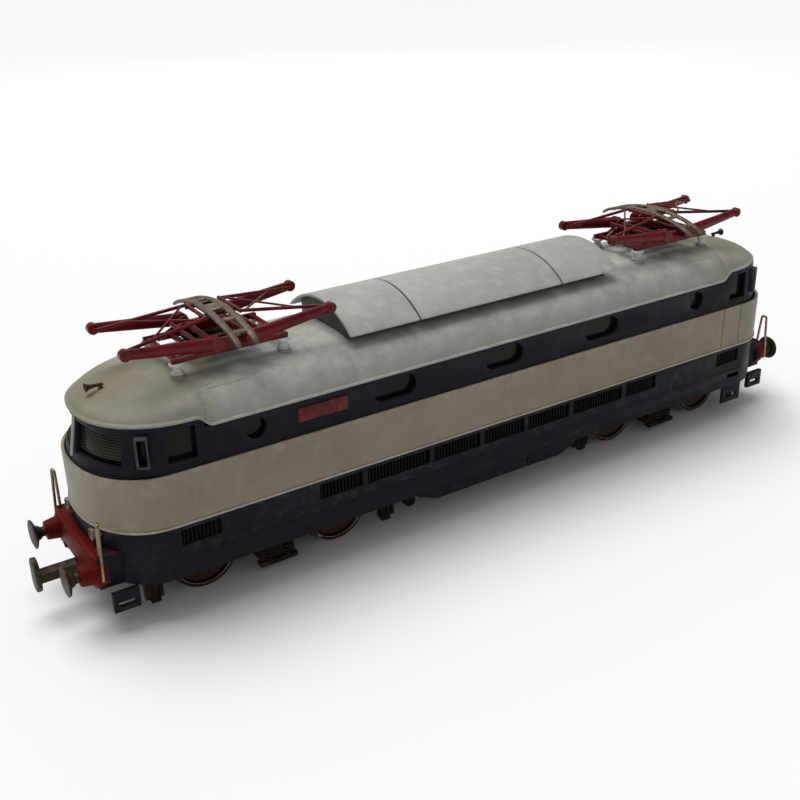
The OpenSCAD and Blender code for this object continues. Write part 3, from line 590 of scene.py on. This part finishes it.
roomGlow = 0.34
setCamera(view)
for light in lights:
    addLight(light)
makeFloor()
world = bpy.data.worlds.new("paleRoom")
bpy.context.scene.world = world
world.use_nodes = True
world.node_tree.nodes["Background"].inputs["Color"].default_value = (1, 1, 1, 1)
world.node_tree.nodes["Background"].inputs["Strength"].default_value = roomGlow
bpy.context.scene.view_settings.view_transform = "Standard"
print("camera, lights and floor set")


# CAD nodes that keep their shape and get a finish

plainNodes = {
    "side_grilles": "black", "chassis_frame": "diecast", "ballast_weights": "steel",
    "circuit_board": "board", "cab_bulbs": "bulb", "body_screws": "steel", "rear_kingpin": "steel",
    "coupler_pins": "steel", "motor_block": "diecast", "motor_can": "steel", "armature": "copper",
    "reduction_gear": "brass", "idler_gear": "brass", "front_pickups": "brass", "rear_pickups": "brass",
    "front_frame_screws": "steel", "rear_frame_screws": "steel", "rear_bogie_block": "diecast",
    "side_glazing": "glass", "headlamp_lenses": "lens",
}
for node, finishName in plainNodes.items():
    nodes[node].data.materials.clear()
    nodes[node].data.materials.append(finishes[finishName])


# copies of CAD nodes with softened edges: finish and bevel width

bandBead = 20.35        # top of the bead along the band's lower edge
beamPaint = dict(front=89.6, low=8.9, side=10.6)    # a beam's ends behind its red face are painted navy


def behindFace(centre):
    behind = abs(centre.x) < beamPaint["front"] and abs(centre.y) > beamPaint["side"]
    return behind and centre.z > beamPaint["low"]


def repaint(piece, finishName, test):       # a second finish on the faces that pass the test
    piece.data.materials.append(finishes[finishName])
    for face in piece.data.polygons:
        if test(face.center / mm):
            face.material_index = len(piece.data.materials) - 1


softened = {
    "waist_band": ("cream", 0.18), "fairing_base": ("darkRoof", 0.12), "fairing_panels": ("fairing", 0.14),
    "nameplates": ("plate", 0.07), "headlamp_rims": ("trim", 0.08), "corner_steps": ("navy", 0.12),
    "centre_skirts": ("navy", 0.12), "air_reservoirs": ("black", 0.3), "buffer_beams": ("red", 0.15),
    "front_coupler": ("blackened", 0.18), "rear_coupler": ("blackened", 0.18),
    "front_bogie_frame": ("underframe", 0.1), "rear_bogie_frame": ("underframe", 0.1),
}
for node, (finishName, width) in softened.items():
    piece = copyNode(node)
    roundEdges(piece, width)
    place(piece, bodyOfNode[node], slotOfNode[node], finishes[finishName], node)
    if node == "buffer_beams":
        repaint(piece, "navy", behindFace)
    if node == "waist_band":
        repaint(piece, "bead", lambda centre: centre.z < bandBead)
print("softened pieces:", len(softened))

# the shell, its glass and window frames; sizes here and below are millimetres
shell = dict(noseStart=73.9, noseTip=87.4, halfWidth=16.1, power=2.2, bottom=30.8, top=40.0, slack=0.01,
             reach=1.03, rakeLength=1.75, rakeWidth=0.24, edge=0.09)


def rakeNose(piece):        # leans the window band back between the waist and the brow
    noseLength = shell["noseTip"] - shell["noseStart"]
    for vertex in piece.data.vertices:
        x, y, z = vertex.co / mm
        beyond = max(abs(x) - shell["noseStart"], 0) / noseLength
        outline = beyond ** shell["power"] + (abs(y) / shell["halfWidth"]) ** shell["power"]
        if z < shell["bottom"] - shell["slack"] or outline >= shell["reach"]:
            continue
        lean = max((shell["top"] - z) / (shell["top"] - shell["bottom"]), 0)
        x += math.copysign(beyond * lean * shell["rakeLength"], x)
        y *= 1 + lean * shell["rakeWidth"] / shell["halfWidth"]
        vertex.co = Vector((x, y, z)) * mm


def nosePoint(end, across, z, inset=0.0):       # a point on the raked nose; across is y at the outside
    lean = (shell["top"] - z) / (shell["top"] - shell["bottom"])
    halfWidth = shell["halfWidth"] + lean * shell["rakeWidth"]
    noseLength = shell["noseTip"] - shell["noseStart"] + lean * shell["rakeLength"]
    share = 1 - (abs(across) / halfWidth) ** shell["power"]
    x = shell["noseStart"] + noseLength * share ** (1 / shell["power"]) - inset
    return Vector((end * x, across, z))


for node, finishName, width in (("body_shell", "navy", shell["edge"]), ("cab_glazing", "glass", 0.05),
                                ("corner_window_frames", "frame", 0.07)):
    piece = copyNode(node)
    rakeNose(piece)
    roundEdges(piece, width)
    place(piece, "body", slotOfNode[node], finishes[finishName], node)

blinds = dict(lowest=33.7, pitch=0.55, count=9, inner=1.5, outer=12.0, steps=8, radius=0.075, inset=1.02)


def makeBlinds(b):      # fine level bars behind the windscreens' outer face
    bars = []
    for end in (-1, 1):
        for side in (-1, 1):
            for i in range(b["count"]):
                z = b["lowest"] + i * b["pitch"]
                route = []
                for k in range(b["steps"] + 1):
                    y = side * (b["inner"] + (b["outer"] - b["inner"]) * k / b["steps"])
                    route.append(nosePoint(end, y, z, b["inset"]))
                bars.append(sweep("bar", route, [b["radius"]] * len(route), sides=6))
    return joinPieces("windscreen_bars", bars)


piece = makeBlinds(blinds)
smooth(piece)
place(piece, "body", "bright_trim", finishes["bars"])

doorLine = dict(places=(68.9, 75.0), side=16.9, low=20.5, high=30.7, radius=0.07)


def makeDoorLines(d):       # the edges of the cab doors, at two opposite corners
    lines = []
    for end in (-1, 1):
        for x in d["places"]:
            route = [(end * x, -end * d["side"], d["low"]), (end * x, -end * d["side"], d["high"])]
            lines.append(sweep("doorLine", route, [d["radius"]] * 2, sides=6, upward=Vector((0, 1, 0))))
    return joinPieces("door_lines", lines)


piece = makeDoorLines(doorLine)
smooth(piece)
place(piece, "body", "cream_paint", finishes["frame"])

pillar = dict(width=0.62, depth=0.3, low=31.6, high=39.6, proud=0.05, steps=4)


def makePillars(p):     # pale strip between the two windscreens
    strips = []
    for end in (-1, 1):
        rises = [p["low"] + (p["high"] - p["low"]) * i / p["steps"] for i in range(p["steps"] + 1)]
        route = [nosePoint(end, 0, z, -p["proud"]) for z in rises]
        strips.append(sweep("pillar", route, [p["width"]] * len(route), sides=8,
                            flat=p["depth"] / p["width"], upward=Vector((end, 0, 0))))
    return joinPieces("windscreen_pillars", strips)


piece = makePillars(pillar)
smooth(piece)
place(piece, "body", "cream_paint", finishes["pillar"])
print("shell and windscreens made")

# the roof skin, from its rain rail to its crown
roof = dict(tip=87.8, halfWidth=16.4, noseLength=17.0, power=2.2, gutter=38.0, brow=40.0, stepStart=67.4,
            stepEnd=70.6, shoulder=6.5, cabShoulder=4.0, crownRadius=60.0, crown=45.2, fallRadius=51.0,
            fallStart=68.0, browRadius=2.5, rail=0.34, wall=0.7, noseSteps=40, sideSteps=26, endSteps=14,
            endSpacing=0.006, rows=24)


def stepUp(x):          # 0 along the body and 1 at the cabs
    t = min(max((abs(x) - roof["stepStart"]) / (roof["stepEnd"] - roof["stepStart"]), 0), 1)
    return t * t * (3 - 2 * t)


def roofSection(phi, cab):      # half width and height where the section's normal rises by phi
    radius = roof["shoulder"] + (roof["cabShoulder"] - roof["shoulder"]) * cab
    middle = roof["crown"] - roof["crownRadius"]
    across = roof["halfWidth"] - radius
    above = math.sqrt((roof["crownRadius"] - radius) ** 2 - across ** 2)
    if phi < math.atan2(above, across):
        return across + radius * math.cos(phi), middle + above + radius * math.sin(phi)
    return roof["crownRadius"] * math.cos(phi), middle + roof["crownRadius"] * math.sin(phi)


def roofFall(phi):              # tip and height of the roof's end where its normal rises by phi
    far = roof["fallRadius"] - roof["browRadius"]
    turn = math.acos((roof["tip"] - roof["browRadius"] - roof["fallStart"]) / far)
    middle = roof["crown"] - roof["fallRadius"]
    if phi < turn:
        return (roof["tip"] - roof["browRadius"] + roof["browRadius"] * math.cos(phi),
                middle + far * math.sin(turn) + roof["browRadius"] * math.sin(phi))
    return (roof["fallStart"] + roof["fallRadius"] * math.cos(phi),
            middle + roof["fallRadius"] * math.sin(phi))


def roofPlaces():               # once round the roof: share of the straight part, nose share and side
    fractions = [1 - roof["endSpacing"] * i for i in range(1, roof["endSteps"])]
    last = fractions[-1]
    inner = [last - 2 * last * i / roof["sideSteps"] for i in range(1, roof["sideSteps"])]
    side = fractions + inner + [-f for f in reversed(fractions)]
    places = []
    for end in (1, -1):
        for i in range(roof["noseSteps"] + 1):
            angle = math.pi / 2 - math.pi * i / roof["noseSteps"]
            places.append((end, abs(math.cos(angle)), end * math.sin(angle)))
        places += [(end * f, 0.0, -end) for f in side]
    return places


def roofPoint(place, phi, outward=0.0):
    along, nose, across = place
    tip, endHeight = roofFall(phi)
    straight = tip - roof["noseLength"]
    halfWidth, sideHeight = roofSection(phi, stepUp(along * straight))
    power = 2 / roof["power"]
    weight = nose * nose * (3 - 2 * nose)
    x = along * (straight + (roof["noseLength"] + outward) * nose ** power)
    y = math.copysign((halfWidth + outward) * abs(across) ** power, across)
    return Vector((x, y, sideHeight + (endHeight - sideHeight) * weight))


def phiAt(place, z):            # where the roof's surface passes a height
    low, high = 0.0, math.pi / 2
    for _ in range(40):
        middle = (low + high) / 2
        if roofPoint(place, middle).z < z:
            low = middle
        else:
            high = middle
    return low


def makeRoof():
    places = roofPlaces()
    rail = roof["rail"]
    lip = [(0.3, -roof["wall"]), (0.0, -0.3), (0.0, rail - 0.08), (0.1, rail), (0.4, rail),
           (0.52, rail - 0.12), (0.58, 0.0)]        # rise and outward reach of the rain rail
    starts = []
    for spot in places:
        edge = roofPoint(spot, phiAt(spot, roof["brow"]))
        base = roof["gutter"] + (roof["brow"] - roof["gutter"]) * stepUp(edge.x)
        starts.append((base, phiAt(spot, base), phiAt(spot, base + lip[-1][0])))

    def point(column, row):
        base, phiBase, phiTop = starts[column]
        if row < len(lip):
            rise, outward = lip[row]
            spot = roofPoint(places[column], phiBase, outward)
            return Vector((spot.x, spot.y, base + rise)) * mm
        share = (row - len(lip) + 1) / roof["rows"]
        return roofPoint(places[column], phiTop + (math.pi / 2 - phiTop) * share) * mm

    return wrapGrid("roof_skin", len(places), len(lip) - 1 + roof["rows"], point)


pads = dict(along=(47.5, 69.5), side=6.8, bottom=44.0, steps=28,
            profile=[(0.0, 1.45), (0.8, 1.4), (1.1, 1.25), (1.25, 1.1), (1.3, 0.9), (1.3, 0.0)])
padPlaces = [(end * x, side * pads["side"]) for end in (-1, 1) for x in pads["along"] for side in (-1, 1)]
roofParts = [makeRoof()]
for x, y in padPlaces:
    roofParts.append(turned("pad", pads["profile"], (x, y, pads["bottom"]), (0, 0, 1), pads["steps"]))

seams = dict(fairingEnd=36.9, fairingSpan=(8, 66), cab=68.6, cabSpan=(6, 72), radius=0.1, raised=0.03)
hatch = dict(start=58.5, end=66.5, slope=64, raised=0.02)


def seamOver(x, lowPhi, highPhi, side, steps=14):       # a thin raised line across the roof
    route = []
    for i in range(steps + 1):
        phi = math.radians(lowPhi + (highPhi - lowPhi) * i / steps)
        y, z = roofSection(phi, stepUp(x))
        across = y + seams["raised"] * math.cos(phi)
        route.append((x, side * across, z + seams["raised"] * math.sin(phi)))
    return sweep("seam", route, [seams["radius"]] * len(route), sides=6, upward=Vector((1, 0, 0)))


for end in (-1, 1):
    for side in (-1, 1):
        roofParts.append(seamOver(end * seams["fairingEnd"], *seams["fairingSpan"], side))
        roofParts.append(seamOver(end * seams["cab"], *seams["cabSpan"], side))
        y, z = roofSection(math.radians(hatch["slope"]), 0)
        route = [(end * x, side * y, z + hatch["raised"]) for x in (hatch["start"], hatch["end"])]
        roofParts.append(sweep("hatchLine", route, [seams["radius"]] * 2, sides=6))
piece = joinPieces("roof_skin", roofParts)
smooth(piece, 40)
place(piece, "body", "roof_paint", finishes["roof"], "roof_shell")
print("roof made:", len(piece.data.polygons), "faces")

# white insulators with a waist and a broad cap
insulator = dict(bottom=45.3, steps=28, profile=[
    (0.0, 0.0), (0.0, 1.2), (0.1, 1.3), (0.3, 1.28), (0.45, 0.98), (0.6, 0.9), (1.15, 0.86), (1.35, 0.98),
    (1.6, 1.42), (1.7, 1.5), (2.0, 1.5), (2.1, 1.38), (2.1, 0.0)])
parts = []
for x, y in padPlaces:
    foot = (x, y, insulator["bottom"])
    parts.append(turned("insulator", insulator["profile"], foot, (0, 0, 1), insulator["steps"]))
piece = joinPieces("insulator_set", parts)
smooth(piece, 50)
place(piece, "body", "insulator", finishes["insulator"], "roof_insulators")

horn = dict(x=82.0, z=44.0, behind=0.6, foot=42.2,
            bell=[(0.0, 0.0), (0.0, 0.32), (1.6, 0.34), (2.4, 0.42), (3.0, 0.62), (3.3, 0.88), (3.42, 0.9),
                  (3.42, 0.78), (3.1, 0.5), (2.6, 0.0)],
            stem=[(0.0, 0.75), (0.15, 0.8), (0.3, 0.55), (0.45, 0.42), (1.6, 0.4), (1.75, 0.0)])


def makeHorn(h, end):
    trumpet = turned("horn", h["bell"], (end * (h["x"] - h["behind"]), 0, h["z"]), (end, 0, 0), 24)
    return [trumpet, turned("hornFoot", h["stem"], (end * h["x"], 0, h["foot"]), (0, 0, 1), 20)]


piece = joinPieces("warning_horns", makeHorn(horn, -1) + makeHorn(horn, 1))
smooth(piece, 45)
place(piece, "body", slotOfNode["roof_horns"], finishes["blackened"], "roof_horns")

# handrails of bent wire at the ends of the nose
rail = dict(radius=0.3, bendRadius=0.55, tilt=Vector((0.2, 1, 0.1)), points=[
    (90.1, 11.25, 14.8), (89.9, 12.2, 23.2), (90.1, 13.4, 23.2), (90.6, 13.8, 11.8), (90.2, 12.3, 11.8)])
parts = []
for end in (-1, 1):
    for side in (-1, 1):
        route = bend([(end * x, side * y, z) for x, y, z in rail["points"]], rail["bendRadius"])
        sizes = [rail["radius"]] * len(route)
        parts.append(sweep("railWire", route, sizes, sides=12, upward=rail["tilt"]))
piece = joinPieces("nose_handrails", parts)
smooth(piece, 50)
place(piece, "body", slotOfNode["end_handrails"], finishes["brassWire"], "end_handrails")

# sprung buffers: a stem that slides in the beam's boss, and a round head
buffer = dict(y=10.06, z=12.1, start=83.5, profile=[
    (0.0, 0.0), (0.0, 1.3), (0.1, 1.4), (1.1, 1.4), (1.2, 1.0), (11.3, 1.0), (11.5, 1.25), (11.9, 1.45),
    (12.25, 1.55), (12.35, 1.9), (12.7, 2.75), (12.85, 2.95), (13.0, 3.0), (13.12, 2.92), (13.24, 2.5),
    (13.3, 2.0), (13.3, 0.0)])
for end, endName in ((-1, "front"), (1, "rear")):
    for side, sideName in ((1, "left"), (-1, "right")):
        node = f"buffer_{endName}_{sideName}"
        centre = (end * buffer["start"], side * buffer["y"], buffer["z"])
        piece = turned(node + "_head", buffer["profile"], centre, (end, 0, 0), 40)
        smooth(piece, 40)
        place(piece, bodyOfNode[node], slotOfNode[node], finishes["blackened"], node)
print("fittings made")

# wheels keep the CAD's shape, with bright treads and the gears and axles in their own metals
wheel = dict(z=7.7, tyre=6.15, edge=0.06, gearHalf=5.6, axle=2.2)
for node in ("wheelset_1", "wheelset_2", "wheelset_3", "wheelset_4"):
    low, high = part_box(node)
    centre = Vector(((low.x + high.x) / 2, 0, wheel["z"] * mm))
    piece = copyNode(node)
    roundEdges(piece, wheel["edge"])
    place(piece, bodyOfNode[node], slotOfNode[node], finishes["wheelFace"], node)
    for finishName in ("tyre", "brass", "steel"):
        piece.data.materials.append(finishes[finishName])
    for face in piece.data.polygons:
        reach = math.hypot(face.center.x - centre.x, face.center.z - centre.z) / mm
        if abs(face.center.y) / mm < wheel["gearHalf"]:
            face.material_index = 2 if reach > wheel["axle"] else 3
        elif reach > wheel["tyre"]:
            face.material_index = 1
print("wheels made")

# pantographs, folded at rest
panto = dict(middle=58.5, pivot=3.5, armHeight=49.8, reach=17.4, rise=2.0, armY=8.4)
lowerArm = dict(rootSize=0.93, tipSize=0.66, flat=1.5, steps=8, shaft=0.6, shaftHalf=9.2, pin=0.5,
                chamfer=0.1, drum=1.42, drumHalf=0.95, drumEdge=0.12, knuckle=1.1, knuckleHalf=0.8,
                knuckleEdge=0.15, cap=(0.45, 0.4, 1.0), braceAt=0.16, braceHalf=8.2, brace=0.42)


def makeLowerArms(a, centre, side):
    root = Vector((centre + side * panto["pivot"], 0, panto["armHeight"]))
    elbow = root + Vector((side * panto["reach"], 0, panto["rise"]))
    length = 2 * a["shaftHalf"]
    shaft = [(0.0, 0.0), (0.0, a["pin"]), (a["chamfer"], a["shaft"]), (length - a["chamfer"], a["shaft"]),
             (length, a["pin"]), (length, 0.0)]
    half, edge = a["drumHalf"], a["drumEdge"]
    drum = [(-half, 0.0), (-half, a["drum"] - edge), (-half + edge, a["drum"]), (half - edge, a["drum"]),
            (half, a["drum"] - edge), (half, 0.0)]
    half, edge = a["knuckleHalf"], a["knuckleEdge"]
    capFoot, capTop, capEnd = a["cap"]
    knuckle = [(-half, 0.0), (-half, a["knuckle"] - edge), (-half + edge, a["knuckle"]),
               (half - edge, a["knuckle"]), (half, a["knuckle"] - edge), (half, capFoot), (capEnd, capTop),
               (capEnd, 0.0)]
    parts = [turned("shaft", shaft, (root.x, -a["shaftHalf"], root.z), (0, 1, 0), 20)]
    for hand in (-1, 1):
        offset = Vector((0, hand * panto["armY"], 0))
        shares = [i / a["steps"] for i in range(a["steps"] + 1)]
        route = [root.lerp(elbow, share) + offset for share in shares]
        sizes = [a["rootSize"] + (a["tipSize"] - a["rootSize"]) * share for share in shares]
        parts.append(sweep("arm", route, sizes, sides=20, flat=a["flat"]))
        parts.append(turned("drum", drum, root + offset, (0, hand, 0), 32))
        parts.append(turned("knuckle", knuckle, elbow + offset, (0, hand, 0), 28))
    middle = root.lerp(elbow, a["braceAt"])
    ends = [middle + Vector((0, hand * a["braceHalf"], 0)) for hand in (-1, 1)]
    parts.append(sweep("brace", ends, [a["brace"]] * 2, sides=10))
    return parts


# the double contact strips on top and the bars under them
bow = dict(stripX=1.8, halfWidth=0.92, taper=0.018, thickness=0.46, radius=40.0, reach=14.9, steps=32,
           top=54.5, rounding=0.9, thinnest=0.25, droopFrom=12.2, droopLength=2.7, droop=0.5,
           overhang=0.3, bridgeDepth=0.34, sunk=0.06,
           bridges=((0.0, 1.9), (6.6, 0.75), (-6.6, 0.75), (11.2, 0.8), (-11.2, 0.8)))
hanger = dict(places=(-3.2, 3.2), corners=(-4.2, -3.4, 3.4, 4.2), radius=0.34, flat=1.2)


def bowHeight(b, y):
    ends = max(abs(y) - b["droopFrom"], 0) / b["droopLength"]
    sag = b["radius"] - math.sqrt(b["radius"] ** 2 - y * y)
    return b["top"] - b["thickness"] - sag - b["droop"] * ends ** 2


def makeBow(b, centre):
    parts = []
    ys = [b["reach"] * math.sin(math.pi / 2 * (-1 + 2 * i / b["steps"])) for i in range(b["steps"] + 1)]
    sizes = []
    for y in ys:
        rest = 1 - min((b["reach"] - abs(y)) / b["rounding"], 1)
        sizes.append((b["halfWidth"] - b["taper"] * abs(y)) * max(math.sqrt(1 - rest * rest), b["thinnest"]))
    for x in (-b["stripX"], b["stripX"]):
        route = [(centre + x, y, bowHeight(b, y)) for y in ys]
        parts.append(sweep("strip", route, sizes, sides=16, flat=b["thickness"] / b["halfWidth"]))
    half = b["stripX"] + b["overhang"]
    for y, halfWidth in b["bridges"]:
        z = bowHeight(b, y) - b["sunk"]
        parts.append(sweep("bridge", [(centre - half, y, z), (centre + half, y, z)], [halfWidth, halfWidth],
                           sides=16, flat=b["bridgeDepth"] / halfWidth))
    return parts


def makeHangers(h, centre):     # the cross bars under the bow that hold the upper arms' shafts
    parts = []
    z = panto["armHeight"] + 2 * panto["rise"]
    for y in h["places"]:
        route = [(centre + x, y, z) for x in h["corners"]]
        parts.append(sweep("hanger", route, [h["radius"]] * len(route), sides=10, flat=h["flat"]))
    return parts


for end, endName in ((-1, "front"), (1, "rear")):
    centre = end * panto["middle"]
    for side, letter in ((-1, "a"), (1, "b")):
        node = f"{endName}_lower_arm_{letter}"
        piece = joinPieces(node + "_pair", makeLowerArms(lowerArm, centre, side))
        smooth(piece, 40)
        place(piece, bodyOfNode[node], slotOfNode[node], finishes["crimson"], node)
        node = f"{endName}_upper_arm_{letter}"
        piece = copyNode(node)
        smooth(piece, 40)
        place(piece, bodyOfNode[node], slotOfNode[node], finishes["crimson"], node)
    node = f"{endName}_bow"
    piece = joinPieces(node + "_strips", makeBow(bow, centre))
    smooth(piece, 45)
    place(piece, bodyOfNode[node], slotOfNode[node], finishes["bow"], node)
    piece = joinPieces(node + "_hangers", makeHangers(hanger, centre))
    smooth(piece, 45)
    place(piece, bodyOfNode[node], slotOfNode[node], finishes["underframe"])

spring = dict(half=5.0, radius=0.72, wire=0.17, core=0.5, coreEnd=0.4, turns=13, perTurn=10, y=3.0, z=47.9,
              hook=6.2, tilt=Vector((1, 0.02, 0.03)))


def makeSpring(s, centre, hand):    # a coil with straight ends round a dark rod
    y = hand * s["y"]
    route = [(centre - s["hook"], y, s["z"])]
    count = s["turns"] * s["perTurn"]
    for i in range(count + 1):
        turn = 2 * math.pi * i / s["perTurn"]
        x = centre - s["half"] + 2 * s["half"] * i / count
        route.append((x, y + s["radius"] * math.sin(turn), s["z"] + s["radius"] * math.cos(turn)))
    route.append((centre + s["hook"], y, s["z"]))
    coil = sweep("spring", route, [s["wire"]] * len(route), sides=6, upward=s["tilt"])
    end = s["half"] + s["coreEnd"]
    rod = turned("core", [(-end, 0.0), (-end, s["core"]), (end, s["core"]), (end, 0.0)],
                 (centre, y, s["z"]), (1, 0, 0), 16)
    return joinPieces("spring", [coil, rod])


parts = [makeSpring(spring, end * panto["middle"], hand) for end in (-1, 1) for hand in (-1, 1)]
piece = joinPieces("lift_springs", parts)
smooth(piece, 60)
place(piece, "body", slotOfNode["panto_springs"], finishes["underframe"], "panto_springs")

cheek = dict(y=(5.5, 7.25), low=47.35, high=49.9, long=9.6, short=4.4, edge=0.16)


def block(name, low, high):     # a cube at its size and place, in millimetres
    clearSelection()
    low, high = Vector(low), Vector(high)
    bpy.ops.mesh.primitive_cube_add(size=1, location=(low + high) / 2 * mm, scale=(high - low) * mm)
    piece = bpy.context.object
    piece.name = name
    settle(piece)
    return piece


def makeCheek(c, centre, hand):     # deep side plate of a pantograph's base, drawn in at its upper corners
    ys = sorted((hand * c["y"][0], hand * c["y"][1]))
    piece = block("cheek", (centre - c["long"], ys[0], c["low"]), (centre + c["long"], ys[1], c["high"]))
    selectFaces(piece, lambda face: face.normal.z > 0.9)
    bpy.ops.transform.resize(value=(c["short"] / c["long"], 1, 1), center_override=(centre * mm, 0, 0))
    bpy.ops.object.mode_set(mode="OBJECT")
    return piece


parts = [copyNode("panto_frames")]
for end in (-1, 1):
    for hand in (-1, 1):
        parts.append(makeCheek(cheek, end * panto["middle"], hand))
piece = joinPieces("panto_bases", parts)
roundEdges(piece, cheek["edge"])
place(piece, "body", slotOfNode["panto_frames"], finishes["crimson"], "panto_frames")
print("pantographs made")
